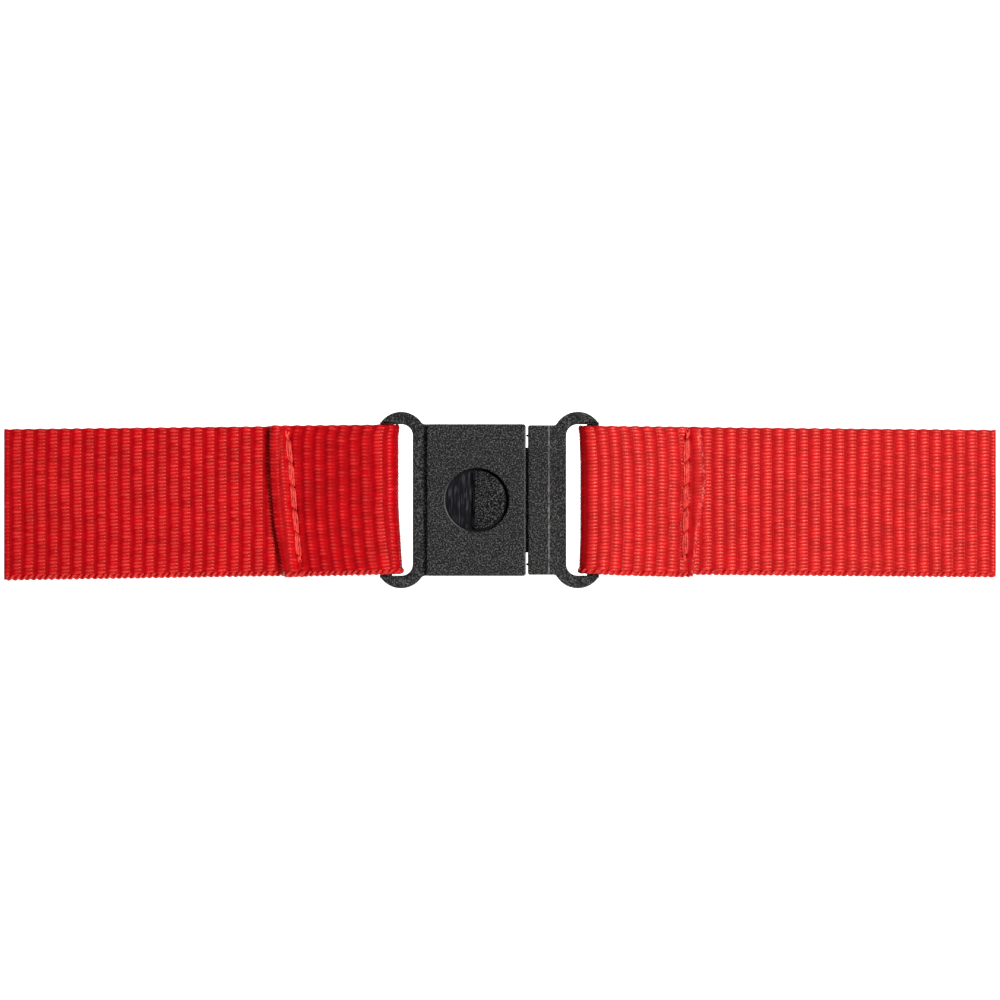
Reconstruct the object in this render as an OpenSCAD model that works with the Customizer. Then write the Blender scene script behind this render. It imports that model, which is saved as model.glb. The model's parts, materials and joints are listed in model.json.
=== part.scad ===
// Safety breakaway buckle of a woven neck lanyard, with the ribbon sewn to each half.
// Millimetres. X runs along the ribbon and Z is up. The part lies flat on z = 0, and x = 0 is the
// middle of the whole length, ribbon ends included.

/* [Ribbon] */
// Width of the woven ribbon
ribbon_w = 19.6; // [16:0.1:19.7]
// Thickness of one layer of ribbon
ribbon_t = 0.95; // [0.7:0.05:1]
// Whole length of the part, from one cut ribbon end to the other
overall_l = 131.4; // [110:0.1:160]
// Slope of the long layer as it rises to the bar, in degrees
rise_angle = 9; // [7:0.5:12]
// Slope of the turned-back layer as it comes down from the bar, in degrees
fall_angle = 14; // [13:0.5:18]
// Distance from the bar to the left row of stitches
left_seam_u = 12.05; // [11.6:0.05:12.6]
// Distance from the bar to the right row of stitches
right_seam_u = 12.25; // [11.6:0.05:13]
// Distance from the bar to the folded edge of the left hem
left_tail_u = 15.15; // [14.8:0.05:17]
// Distance from the bar to the raw edge of the right tail
right_tail_u = 14.2; // [13.6:0.05:17]

/* [Buckle] */
// Height of the housing and of the plug's block
buckle_h = 5.6; // [5.4:0.1:6.5]
// Width of the housing
housing_w = 20; // [19:0.1:20.5]
// Width of the plug's block
block_w = 19.7; // [19:0.1:20]
// X of the housing's step down to its loop
housing_x0 = -9.63; // [-9.8:0.01:-9.5]
// X of the housing's mouth
housing_x1 = 3.4; // [3.3:0.01:3.5]
// Gap between the housing's mouth and the plug's block
mouth_gap = 0.3; // [0.2:0.05:0.5]
// X where the plug's block starts to slope down
crease_x = 6.5; // [5.5:0.1:7.5]

/* [Loops] */
// X of the middle of the left slot
left_slot_x = -13.05; // [-13.2:0.01:-12.95]
// X of the middle of the right slot
right_slot_x = 10.27; // [10.2:0.01:10.5]
// Outer height of a loop, along Y
loop_l = 23.3; // [22.8:0.1:24]
// Outer end radius of a loop
loop_r = 3.27; // [3.1:0.01:3.4]
// Thickness of a loop's plate
loop_t = 3; // [2.4:0.1:3.2]
// Length of the slot, along Y
slot_l = 20; // [19.9:0.05:20.2]
// End radius of the slot
slot_r = 1.54; // [1.4:0.01:1.6]
// Radius of the round bar that the ribbon turns on
bar_r = 0.8; // [0.6:0.05:0.8]
// Distance from the slot's middle to the bar's axis
bar_offset = 2; // [1.9:0.05:2.1]

/* [Latch] */
// Diameter of the round window over the snap boss
window_d = 8.45; // [8.2:0.05:8.6]
// X of the window's middle
window_x = -3.03; // [-3.2:0.01:-2.9]
// Radius of the snap boss
boss_r = 3.8; // [3.5:0.05:3.85]
// X of the snap boss's flat front
boss_flat_x = -3.7; // [-4:0.01:-3]
// Radius of the finger's dish in the snap boss
dish_r = 1.5; // [1:0.1:1.8]
// Width of the plug's tongue
tongue_w = 13.84; // [12:0.02:14]

/* [Hidden] */
$fn = 96;

PLASTIC = [0.16, 0.16, 0.165];
FINGER_PLASTIC = [0.22, 0.22, 0.225];
RIBBON_RED = [0.76, 0.04, 0.07];
THREAD_RED = [0.86, 0.16, 0.15];

// Heights
mid_z = buckle_h / 2;
bottom_wall = 1;
top_wall = 1.2;
slide_gap = 0.1;
cavity_z0 = bottom_wall;
cavity_z1 = buckle_h - top_wall;
tongue_z0 = cavity_z0 + slide_gap;
tongue_z1 = cavity_z1 - slide_gap;

// Housing
corner_r = 0.35;
cavity_x0 = housing_x0 + 0.63;
cavity_w = tongue_w + 0.26;
lead_groove_w = 2 * boss_r + 0.2;
lead_groove_t = 0.35;
window_r = window_d / 2;

// Plug
block_x0 = housing_x1 + mouth_gap;
tongue_x0 = cavity_x0 + 0.2;
web_x0 = housing_x1 - 0.8;
pip_r = 0.14;
pip_y = 8.5;
pip_reach = mouth_gap - 0.06;

// Latch finger
finger_t = 1.2;
finger_w = 8.8;
finger_gap = 0.3;
finger_x0 = tongue_x0 + 1.2;
finger_x1 = web_x0 - 0.4;
finger_z = tongue_z1 - finger_t / 2;
root_r = finger_t / 2;
root_clearance = 0.03;
boss_front_z = buckle_h - 1.05;
boss_top_z = buckle_h - 0.6;
boss_back_z = buckle_h - 0.5;
boss_ramp_x = boss_flat_x + 0.42;
boss_back_x = 0.4;
dish_x = -1.3;
dish_depth = 0.3;

// Loops
loop_fillet_r = 0.7;
left_bar_x = left_slot_x - bar_offset;
right_bar_x = right_slot_x + bar_offset;

// Ribbon, in a plane with its origin on the bar's axis: u runs away from the buckle and v is up
arc_steps = 24;
thread_r = 0.18;
ribbon_lift = 0.12;
wrap_gap = 0.05;
wrap_r0 = bar_r + wrap_gap;
wrap_r1 = wrap_r0 + ribbon_t;
wrap_rc = wrap_r0 + ribbon_t / 2;
lower_v = ribbon_lift + ribbon_t / 2 - mid_z;
upper_v = lower_v + ribbon_t;
rise_l = (-wrap_rc * cos(rise_angle) - lower_v) / sin(rise_angle);
fall_l = (wrap_rc * cos(fall_angle) - upper_v) / sin(fall_angle);
rise_u = -wrap_rc * sin(rise_angle) + rise_l * cos(rise_angle);
fall_u = wrap_rc * sin(fall_angle) + fall_l * cos(fall_angle);
meet_l = (wrap_r0 * cos(fall_angle) - lower_v - ribbon_t / 2) / sin(fall_angle);
meet_u = wrap_r0 * sin(fall_angle) + meet_l * cos(fall_angle);
left_end_u = overall_l / 2 + left_bar_x;
right_end_u = overall_l / 2 - right_bar_x;
hem_l = 2.15;
hem_t = 2 * ribbon_t - 0.05;
hem_slope = 0.6;

// Stitches
stitch_pitch = 3;
stitch_count = 6;
needle_z = ribbon_lift + 2 * ribbon_t + 0.04;
lock_z = ribbon_lift + ribbon_t;

// ---------------------------------------------------------------- plan outlines

// A slot shape, centred, with its length along Y
module stadium(length, radius) {
  for (side = [-1, 1]) {
    translate([0, side * (length / 2 - radius)]) circle(radius);
  }
  square([2 * radius, length - 2 * radius], center = true);
}

// A rectangle with round corners, from x0 to x1 and centred on Y
module rounded_plan(x0, x1, width, radius) {
  for (x = [x0 + radius, x1 - radius], side = [-1, 1]) {
    translate([x, side * (width / 2 - radius)]) circle(radius);
  }
  translate([x0, radius - width / 2]) square([x1 - x0, width - 2 * radius]);
  translate([x0 + radius, -width / 2]) square([x1 - x0 - 2 * radius, width]);
}

// The hollow blend where a loop's round end meets the straight side of the body, body on +X
module loop_fillet(width) {
  end_y = loop_l / 2 - loop_r;
  reach = loop_r + loop_fillet_r;
  rise = width / 2 + loop_fillet_r - end_y;
  centre = [sqrt(reach * reach - rise * rise), width / 2 + loop_fillet_r];
  touch = [centre[0] * loop_r / reach, end_y + rise * loop_r / reach];
  difference() {
    polygon([
      touch,
      centre,
      [centre[0], width / 2 - 0.2],
      [touch[0] - 0.3, width / 2 - 0.2],
    ]);
    translate(centre) circle(loop_fillet_r);
  }
}

// A loop in plan, with the slot's middle at x = 0 and the body on +X. Its bar is made apart.
module loop_plan(width, web_l) {
  difference() {
    union() {
      stadium(loop_l, loop_r);
      translate([0, -width / 2]) square([web_l, width]);
      loop_fillet(width);
      mirror([0, 1]) loop_fillet(width);
    }
    stadium(slot_l, slot_r);
    translate([-loop_r - 1, -slot_l / 2]) square([loop_r + 1, slot_l]);
  }
}

// A loop as a plate with the round bar across its open side
module loop_plate(width, web_l) {
  translate([0, 0, mid_z - loop_t / 2]) linear_extrude(height = loop_t) loop_plan(width, web_l);
  translate([-bar_offset, 0, mid_z])
    rotate([90, 0, 0]) cylinder(r = bar_r, h = slot_l + 0.6, center = true);
}

// ---------------------------------------------------------------- buckle

module female_housing() color(PLASTIC) difference() {
  union() {
    linear_extrude(height = buckle_h) rounded_plan(housing_x0, housing_x1, housing_w, corner_r);
    translate([left_slot_x, 0, 0]) loop_plate(housing_w, housing_x0 + 0.5 - left_slot_x);
  }
  translate([cavity_x0, -cavity_w / 2, cavity_z0])
    cube([housing_x1 - cavity_x0 + 1, cavity_w, cavity_z1 - cavity_z0]);
  translate([window_x, -lead_groove_w / 2, cavity_z1 - 0.1])
    cube([housing_x1 - window_x + 1, lead_groove_w, lead_groove_t + 0.1]);
  translate([window_x, 0, cavity_z1 - 0.5]) cylinder(r = window_r, h = top_wall + 1);
}

// The plug's block in side view, drawn in X and Z, with both faces sloping to the loop
module block_profile() {
  slope_x1 = right_slot_x - slot_r;
  z0 = mid_z - loop_t / 2;
  z1 = mid_z + loop_t / 2;
  polygon([
    [block_x0, 0],
    [crease_x, 0],
    [slope_x1, z0],
    [slope_x1, z1],
    [crease_x, buckle_h],
    [block_x0, buckle_h],
  ]);
}

module plug_block() {
  intersection() {
    rotate([90, 0, 0]) linear_extrude(height = block_w, center = true) block_profile();
    linear_extrude(height = buckle_h) rounded_plan(block_x0, right_slot_x + 1, block_w, corner_r);
  }
  for (side = [-1, 1]) {
    translate([block_x0 - pip_reach, side * pip_y, mid_z])
      rotate([0, 90, 0]) cylinder(r = pip_r, h = pip_reach + 0.3, $fn = 24);
  }
}

// Two rails joined by a web at the block and a bridge at the tip, open in the middle
module plug_tongue() {
  slit_w = finger_w + 2 * finger_gap;
  difference() {
    translate([tongue_x0, -tongue_w / 2, tongue_z0])
      cube([block_x0 - tongue_x0 + 0.5, tongue_w, tongue_z1 - tongue_z0]);
    translate([finger_x0, -slit_w / 2, tongue_z0 - 1])
      cube([web_x0 - finger_x0, slit_w, tongue_z1 - tongue_z0 + 2]);
    translate([finger_x0, 0, finger_z])
      rotate([90, 0, 0]) cylinder(r = root_r + root_clearance, h = slit_w, center = true);
  }
}

module male_plug() color(PLASTIC) union() {
  plug_block();
  plug_tongue();
  translate([right_slot_x, 0, 0]) mirror([1, 0, 0])
    loop_plate(block_w, right_slot_x - crease_x - 0.2);
}

// The boss in side view: a short ramp, a long top and a steep back that lets go under a hard pull
module boss_profile() {
  polygon([
    [boss_flat_x, finger_z],
    [window_x + boss_r + 1, finger_z],
    [window_x + boss_r + 1, tongue_z1 + 0.15],
    [boss_back_x, boss_back_z],
    [boss_ramp_x, boss_top_z],
    [boss_flat_x, boss_front_z],
  ]);
}

// The round boss with its flat front, and the dish for the fingertip
module boss() difference() {
  intersection() {
    rotate([90, 0, 0]) linear_extrude(height = 2 * boss_r + 1, center = true) boss_profile();
    translate([window_x, 0, finger_z - 0.2]) cylinder(r = boss_r, h = buckle_h);
  }
  translate([dish_x, 0, boss_top_z - dish_depth]) cylinder(r1 = dish_r - 0.7, r2 = dish_r, h = 0.5);
}

module latch_finger() color(FINGER_PLASTIC) union() {
  translate([finger_x0, 0, finger_z])
    rotate([90, 0, 0]) cylinder(r = root_r, h = finger_w, center = true);
  translate([finger_x0, -finger_w / 2, tongue_z1 - finger_t])
    cube([finger_x1 - finger_x0, finger_w, finger_t]);
  boss();
}

// ---------------------------------------------------------------- ribbon

// Points on a circle round the origin, from angle a0 to angle a1
function arc(radius, a0, a1) =
  [for (i = [0:arc_steps]) let (a = a0 + (a1 - a0) * i / arc_steps) radius * [cos(a), sin(a)]];

// The two outlines of a ribbon in side view, outside first. They share the turn round the bar.
// tail_end holds the outline's points round the end of the turned-back layer.
function ribbon_outside(end_u, tail_end) = concat(
  [[end_u, lower_v - ribbon_t / 2]],
  [[rise_u - ribbon_t / 2 * tan(rise_angle / 2), lower_v - ribbon_t / 2]],
  arc(wrap_r1, 270 - rise_angle, 90 - fall_angle),
  [[fall_u + ribbon_t / 2 * tan(fall_angle / 2), upper_v + ribbon_t / 2]],
  tail_end,
  [[end_u, lower_v + ribbon_t / 2]]
);

function ribbon_inside() = concat(
  [[rise_u + ribbon_t / 2 * tan(rise_angle / 2), lower_v + ribbon_t / 2]],
  arc(wrap_r0, 270 - rise_angle, 90 - fall_angle),
  [[meet_u, lower_v + ribbon_t / 2]]
);

// A raw end, cut square
function raw_end(tail_u) = [
  [tail_u, upper_v + ribbon_t / 2],
  [tail_u, lower_v + ribbon_t / 2],
];

// A hemmed end: folded under itself, so that it stands two layers high and ends in a round fold
function hemmed_end(tail_u) =
  let (
    base_v = lower_v + ribbon_t / 2,
    fold = [tail_u - hem_t / 2, base_v + hem_t / 2]
  )
  concat(
    [[tail_u - hem_l - hem_slope, upper_v + ribbon_t / 2]],
    [[tail_u - hem_l, base_v + hem_t]],
    [for (p = arc(hem_t / 2, 90, -90)) fold + p]
  );

// A ribbon standing on its bar: direction is -1 for the left one and 1 for the right one
module ribbon(bar_x, direction, outside) {
  inside = ribbon_inside();
  outer_path = [for (i = [0:len(outside) - 1]) i];
  inner_path = [for (i = [0:len(inside) - 1]) len(outside) + i];
  translate([bar_x, 0, mid_z]) mirror([direction < 0 ? 1 : 0, 0, 0])
    rotate([90, 0, 0]) linear_extrude(height = ribbon_w, center = true)
      polygon(points = concat(outside, inside), paths = [outer_path, inner_path]);
}

module left_ribbon() color(RIBBON_RED)
  ribbon(left_bar_x, -1, ribbon_outside(left_end_u, hemmed_end(left_tail_u)));

module right_ribbon() color(RIBBON_RED)
  ribbon(right_bar_x, 1, ribbon_outside(right_end_u, raw_end(right_tail_u)));

// ---------------------------------------------------------------- stitches

// One thread of a lockstitch: it runs along Y at height z, with a leg to the lock at each hole
module stitch_row(x, z) {
  row_l = stitch_count * stitch_pitch;
  leg_z = min(z, lock_z);
  leg_l = abs(z - lock_z);
  translate([x, 0, z]) rotate([90, 0, 0]) cylinder(r = thread_r, h = row_l, center = true, $fn = 24);
  for (i = [0:stitch_count]) {
    translate([x, i * stitch_pitch - row_l / 2, 0]) {
      translate([0, 0, z]) sphere(thread_r, $fn = 24);
      translate([0, 0, leg_z]) cylinder(r = thread_r, h = leg_l, $fn = 24);
    }
  }
}

module left_needle_thread() color(THREAD_RED) stitch_row(left_bar_x - left_seam_u, needle_z);
module left_bobbin_thread() color(THREAD_RED) stitch_row(left_bar_x - left_seam_u, thread_r);
module right_needle_thread() color(THREAD_RED) stitch_row(right_bar_x + right_seam_u, needle_z);
module right_bobbin_thread() color(THREAD_RED) stitch_row(right_bar_x + right_seam_u, thread_r);

female_housing();
male_plug();
latch_finger();
left_ribbon();
left_needle_thread();
left_bobbin_thread();
right_ribbon();
right_needle_thread();
right_bobbin_thread();
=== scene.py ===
import json
import math

import bmesh
import bpy
import numpy as np
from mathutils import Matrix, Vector
from mathutils.geometry import tessellate_polygon


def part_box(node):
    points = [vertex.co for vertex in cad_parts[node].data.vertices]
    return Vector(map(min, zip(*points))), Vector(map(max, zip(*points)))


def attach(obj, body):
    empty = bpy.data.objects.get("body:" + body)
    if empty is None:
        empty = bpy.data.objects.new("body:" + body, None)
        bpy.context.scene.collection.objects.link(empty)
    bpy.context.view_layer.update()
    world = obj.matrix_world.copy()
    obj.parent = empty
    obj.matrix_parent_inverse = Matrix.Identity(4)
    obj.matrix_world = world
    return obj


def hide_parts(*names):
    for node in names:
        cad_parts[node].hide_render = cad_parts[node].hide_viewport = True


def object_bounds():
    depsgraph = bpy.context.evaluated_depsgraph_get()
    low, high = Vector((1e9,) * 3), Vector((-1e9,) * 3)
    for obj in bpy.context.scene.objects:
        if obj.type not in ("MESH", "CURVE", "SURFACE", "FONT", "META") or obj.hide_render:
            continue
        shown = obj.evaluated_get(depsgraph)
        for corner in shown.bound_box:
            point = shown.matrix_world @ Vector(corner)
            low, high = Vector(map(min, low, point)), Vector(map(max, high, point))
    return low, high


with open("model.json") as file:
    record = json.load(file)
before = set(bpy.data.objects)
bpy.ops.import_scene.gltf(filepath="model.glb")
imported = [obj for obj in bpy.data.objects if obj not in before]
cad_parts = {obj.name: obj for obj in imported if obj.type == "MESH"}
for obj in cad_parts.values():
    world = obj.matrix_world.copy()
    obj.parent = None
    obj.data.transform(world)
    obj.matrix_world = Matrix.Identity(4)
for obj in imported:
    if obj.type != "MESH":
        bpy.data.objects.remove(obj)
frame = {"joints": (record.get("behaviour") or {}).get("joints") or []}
cad_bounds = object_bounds()

MM = 0.001

# ------------------------------------------------------------------ sizes, in millimetres

# Ribbon: thickness, the slopes at which it leaves its bar below and above, and the turn round the bar,
# all as in the CAD model
RIBBON_T = 0.95
RISE_ANGLE = math.radians(9)
FALL_ANGLE = math.radians(14)
BAR_R = 0.8
WRAP_GAP = 0.05
WRAP_R = BAR_R + WRAP_GAP + RIBBON_T / 2

# The lower layer rounds off with this radius where it rises from the table
RISE_R = 9

# The upper layer starts to fall this far from the bar's axis, and rounds off with this radius
SHOULDER = 1.6
SHOULDER_R = 11

# It comes down on the lower layer this far before the seam, and rounds off with this radius
LANDING = 0.9
LANDING_R = 5

# The hem's upper layer lies this much higher than the layer under it
HEM_RISE = 0.82

# Weave: ribs run across the ribbon, warp yarns run along it and cover them. RIB_LIFT is how far a yarn
# rises over a rib, YARN_DOME how round a yarn is, and FLOAT_TAPER how much narrower it is beside the rib
WEAVE_W = 19.8
RIB_PITCH = 1.6
YARN_PITCH = WEAVE_W / 43
RIB_LIFT = 0.18
YARN_DOME = 0.085
FLOAT_TAPER = 0.2

# The mesh: steps along and across the ribbon, and the last rows' distances from its end
ROW_STEP = RIB_PITCH / 6
COLUMN_STEP = YARN_PITCH / 4
LAST_ROWS = (0.45, 0.36, 0.27, 0.19, 0.12, 0.06, 0.02, 0)

# Edges: how far in the ribbon is rounded off, and how wide the corded lower edge is
EDGE_ROUND = 0.42
CORD_WIDTH = 0.8

# Sewing: a stitch is three strands side by side
STITCH_PITCH = 3.1
STRAND_R = 0.14
STRAND_GAP = 0.26
LOWEST_HOLE = -10.1

# Camera: straight down, with VIEW_W across the picture at the height VIEW_Z
VIEW_W = 132.45
VIEW_Z = 0.9
LENS = 200
SENSOR = 36

# The floor is this far below the part, so that the straps have room to swing down
FLOOR_DROP = 60

bars = {j["name"]: np.array(j["pos_m"]) / MM for j in frame["joints"] if "pos_m" in j}


# ------------------------------------------------------------------ small helpers


def bell(x, width):
    """A smooth bump of height 1 around x = 0."""
    return np.exp(-((x / width) ** 2))


def ramp(x, x0, x1):
    """0 below x0, 1 above x1 and smooth between them."""
    t = np.clip((x - x0) / (x1 - x0), 0, 1)
    return t * t * (3 - 2 * t)


def waves(rng, x, y, scale, count=5):
    """Smooth irregular waves over a surface, about -1 to 1."""
    total = 0
    for _ in range(count):
        angle = rng.uniform(0, 2 * math.pi)
        length = scale * rng.uniform(0.7, 1.6)
        phase = rng.uniform(0, 2 * math.pi)
        along = x * math.cos(angle) + y * math.sin(angle)
        total = total + np.sin(2 * math.pi * along / length + phase)
    return total / count


def new_object(name, verts, faces, smooth=True):
    """A mesh object from vertices in millimetres, with its faces turned outwards."""
    verts = np.asarray(verts, float)
    a, b, c = (verts[[f[k] for f in faces]] for k in (0, 1, 2))
    d = verts[[f[-1] for f in faces]]
    volume = np.einsum("ij,ij->i", a, np.cross(b, c)).sum()
    volume += np.einsum("ij,ij->i", a, np.cross(c, d)).sum()
    if volume < 0:
        faces = [tuple(reversed(f)) for f in faces]
    mesh = bpy.data.meshes.new(name)
    mesh.from_pydata((verts * MM).tolist(), [], faces)
    mesh.polygons.foreach_set("use_smooth", [smooth] * len(faces))
    obj = bpy.data.objects.new(name, mesh)
    bpy.context.scene.collection.objects.link(obj)
    return obj


def point_values(obj, name, values):
    """Stores one number for each vertex, for the materials to read."""
    layer = obj.data.attributes.new(name, "FLOAT", "POINT")
    layer.data.foreach_set("value", np.asarray(values, np.float32).ravel())


def tube(points, radius, sides=8):
    """Vertices and faces of a closed tube along points. radius is one number or one for each point."""
    points = np.asarray(points, float)
    count = len(points)
    radii = np.broadcast_to(np.asarray(radius, float), (count,))
    tangents = np.gradient(points, axis=0)
    tangents /= np.linalg.norm(tangents, axis=1)[:, None]
    side = np.cross(tangents[0], (0.3, 0.2, 1))
    verts = []
    for p, t, r in zip(points, tangents, radii):
        side = side - t * (side @ t)
        side /= np.linalg.norm(side)
        up = np.cross(t, side)
        for k in range(sides):
            angle = 2 * math.pi * k / sides
            verts.append(p + r * (math.cos(angle) * side + math.sin(angle) * up))
    faces = []
    for i in range(count - 1):
        for k in range(sides):
            n = (k + 1) % sides
            faces.append((i * sides + k, i * sides + n, (i + 1) * sides + n, (i + 1) * sides + k))
    for end, ring in ((0, 0), (1, (count - 1) * sides)):
        verts.append(points[-end])
        hub = len(verts) - 1
        for k in range(sides):
            n = (k + 1) % sides
            a, b = (k, n) if end else (n, k)
            faces.append((hub, ring + a, ring + b))
    return verts, faces


def joined(parts):
    """Puts several (vertices, faces) pairs together as one."""
    verts, faces = [], []
    for v, f in parts:
        base = len(verts)
        verts.extend(v)
        faces.extend(tuple(i + base for i in face) for face in f)
    return verts, faces


# ------------------------------------------------------------------ the ribbon's route


def filleted(corners):
    """Points along the line through corners (u, v, radius), with each turn rounded to its radius."""
    points = [np.array(corners[0][:2], float)]
    for before, here, after in zip(corners, corners[1:], corners[2:]):
        corner = np.array(here[:2], float)
        if here[2] == 0:
            points.append(corner)
            continue
        back = np.array(before[:2]) - corner
        on = np.array(after[:2]) - corner
        back /= np.linalg.norm(back)
        on /= np.linalg.norm(on)
        turn = math.pi - math.acos(np.clip(back @ on, -1, 1))
        radius = here[2]
        half = (back + on) / np.linalg.norm(back + on)
        centre = corner + half * radius / math.cos(turn / 2)
        start = corner + back * radius * math.tan(turn / 2) - centre
        sign = 1 if on[0] * back[1] - on[1] * back[0] > 0 else -1
        steps = max(3, int(math.degrees(turn) / 5))
        for k in range(steps + 1):
            c, s = math.cos(sign * turn * k / steps), math.sin(sign * turn * k / steps)
            points.append(centre + np.array([c * start[0] - s * start[1], s * start[0] + c * start[1]]))
    points.append(np.array(corners[-1][:2], float))
    return np.array(points)


def ribbon_route(ribbon, w):
    """The route at the place w across the ribbon, and the distance along it at each point."""
    points = filleted(ribbon.corners(w))
    steps = np.linalg.norm(np.diff(points, axis=0), axis=1)
    return np.concatenate([[0], np.cumsum(steps)]), points


class Ribbon:
    """One strap. u is the distance from its bar, away from the buckle, and v is the height over the bar's
    axis. s is the distance along the cloth from the cut end, and w is the place across it, from -1 to 1."""

    def __init__(self, name, joint, side, lie, slack, tail, seam, seed):
        self.name = name
        self.bar = bars[joint]
        self.side = side
        self.lie = lie
        self.slack = slack
        self.tail = tail
        self.seam = seam
        self.rng = np.random.RandomState(seed)
        lo, hi = (np.array(c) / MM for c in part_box(name + "_ribbon"))
        self.end_u = abs((lo[0] if side < 0 else hi[0]) - self.bar[0])
        self.lower_v = lo[2] + RIBBON_T / 2 - self.bar[2]
        self.upper_v = self.lower_v + RIBBON_T
        # The lower layer rises from the table at rise_u, and the upper one is down on it by fall_u
        rise_l = (-WRAP_R * math.cos(RISE_ANGLE) - self.lower_v) / math.sin(RISE_ANGLE)
        fall_l = (WRAP_R * math.cos(FALL_ANGLE) - self.upper_v) / math.sin(FALL_ANGLE)
        self.rise_u = -WRAP_R * math.sin(RISE_ANGLE) + rise_l * math.cos(RISE_ANGLE)
        fall_u = WRAP_R * math.sin(FALL_ANGLE) + fall_l * math.cos(FALL_ANGLE)
        self.bar_s = self.end_u + WRAP_R * math.pi / 2
        self.flat_s = self.bar_s + WRAP_R * math.pi / 2 + fall_u

    def corners(self, w):
        """The route's corners at the place w across the ribbon."""
        start, stop = 1.5 * math.pi - RISE_ANGLE, 0.5 * math.pi
        third = (stop - start) / 3
        reach = WRAP_R / math.cos(third / 2)
        shift = self.slack(w)
        line = [(self.end_u, self.lower_v, 0), (self.rise_u, self.lower_v, RISE_R)]
        for k in range(3):
            angle = start + third * (k + 0.5)
            line.append((reach * math.cos(angle) - shift, reach * math.sin(angle), WRAP_R * 0.96))
        line.append((SHOULDER, WRAP_R, SHOULDER_R))
        line.append((self.seam_u(10 * w) - LANDING, self.upper_v, LANDING_R))
        return line + self.tail(self, w)

    def across(self, s, w):
        """Y at the place (s, w): the straps lie a little askew, as the three (top, bottom) pairs say."""
        stations = [0, self.bar_s, self.end_s]
        top = np.interp(s, stations, [pair[0] for pair in self.lie])
        bottom = np.interp(s, stations, [pair[1] for pair in self.lie])
        return (top + bottom) / 2 + w * (top - bottom) / 2

    def seam_u(self, y):
        """Distance from the bar to the row of stitches, at the height y of the picture."""
        return self.seam[0] + self.seam[1] * y

    def lay_out(self, columns):
        """Works out the route of each column: its points and the distance s at each of them."""
        self.routes = []
        for w in columns:
            self.routes.append(ribbon_route(self, w))
        self.end_s = float(np.mean([r[0][-1] for r in self.routes]))

    def grid(self, columns):
        """s, centre line and outward normal for every row and column of the mesh."""
        self.lay_out(columns)
        ends = np.array([r[0][-1] for r in self.routes])
        # Up to 2 mm before the tail lies flat, a row has the same s in every column. Beyond that, the rows
        # share out what is left of each column's own length.
        fixed = np.arange(0, self.flat_s - 2, ROW_STEP)
        span = ends.mean() - fixed[-1] - LAST_ROWS[0]
        share = np.arange(1, round(span / ROW_STEP)) / round(span / ROW_STEP)
        to_last = ends - LAST_ROWS[0] - fixed[-1]
        s = np.concatenate(
            [
                np.repeat(fixed[:, None], len(columns), axis=1),
                fixed[-1] + share[:, None] * to_last,
                ends - np.array(LAST_ROWS)[:, None],
            ]
        )
        centre = np.empty(s.shape + (2,))
        normal = np.empty(s.shape + (2,))
        for j, (along, points) in enumerate(self.routes):
            ahead = np.minimum(s[:, j] + 0.06, along[-1])
            behind = np.maximum(s[:, j] - 0.06, 0)
            for axis in (0, 1):
                centre[:, j, axis] = np.interp(s[:, j], along, points[:, axis])
                normal[:, j, axis] = np.interp(ahead, along, points[:, axis])
                normal[:, j, axis] -= np.interp(behind, along, points[:, axis])
        normal /= np.linalg.norm(normal, axis=2)[:, :, None]
        normal = np.stack([-normal[:, :, 1], normal[:, :, 0]], axis=2)
        return s, centre, normal

    def place(self, u, v, y):
        """Millimetres in the row frame."""
        return np.stack([self.bar[0] + self.side * u, y, self.bar[2] + v], axis=-1)


def weave_height(ribbon, s, w, flip):
    """Height of the yarns over the ribbon's core, how near each place is to the middle of a yarn where it
    floats, and a random shade for each yarn. Odd and even warp yarns rise over every other rib in turn,
    and flip swaps them for the ribbon's other face."""
    rng = np.random.RandomState(ribbon.rng.randint(1 << 30))
    y = w * WEAVE_W / 2
    s = s + 0.14 * waves(rng, s, y, 14) + 0.05 * waves(rng, s, y, 4)
    rib = s / RIB_PITCH
    lift = flip * np.cos(math.pi * rib)
    table = rng.uniform(-1, 1, (80, 100, 3))
    rib_index = np.round(rib).astype(int) % 80
    height = np.full(s.shape, -1.0)
    shade = np.zeros(s.shape)
    middle = np.zeros(s.shape)
    for family in (0, 1):
        yarn = y / YARN_PITCH + 0.5 * family
        index = np.round(yarn).astype(int)
        jitter = table[rib_index, (2 * index + family) % 100]
        up = (1 - 2 * family) * lift
        width = 1 - FLOAT_TAPER * (1 - np.clip(up, 0, 1))
        off = 2 * (yarn - index) / width
        dome = np.sqrt(np.clip(1 - np.abs(off) ** 2.2, 0, 1))
        own = up * RIB_LIFT + dome * YARN_DOME * (1 + 0.22 * jitter[..., 0])
        own = own + 0.012 * jitter[..., 1] - 0.06 * np.clip(np.abs(off) - 0.95, 0, 0.5)
        higher = own > height
        height = np.where(higher, own, height)
        shade = np.where(higher, jitter[..., 2], shade)
        middle = np.where(higher, ramp(dome, 0.2, 0.85) * ramp(up, 0, 0.45), middle)
    return height, middle, shade


def ribbon_columns():
    """Places across the ribbon, from -1 to 1, with closer ones where its edges round off."""
    half = WEAVE_W / 2
    inner = COLUMN_STEP * int((half - 0.25) / COLUMN_STEP)
    middle = np.arange(-inner, inner + COLUMN_STEP / 2, COLUMN_STEP)
    edge = np.array([half - 0.14, half - 0.05, half])
    return np.concatenate([-edge[::-1], middle, edge]) / half


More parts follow.
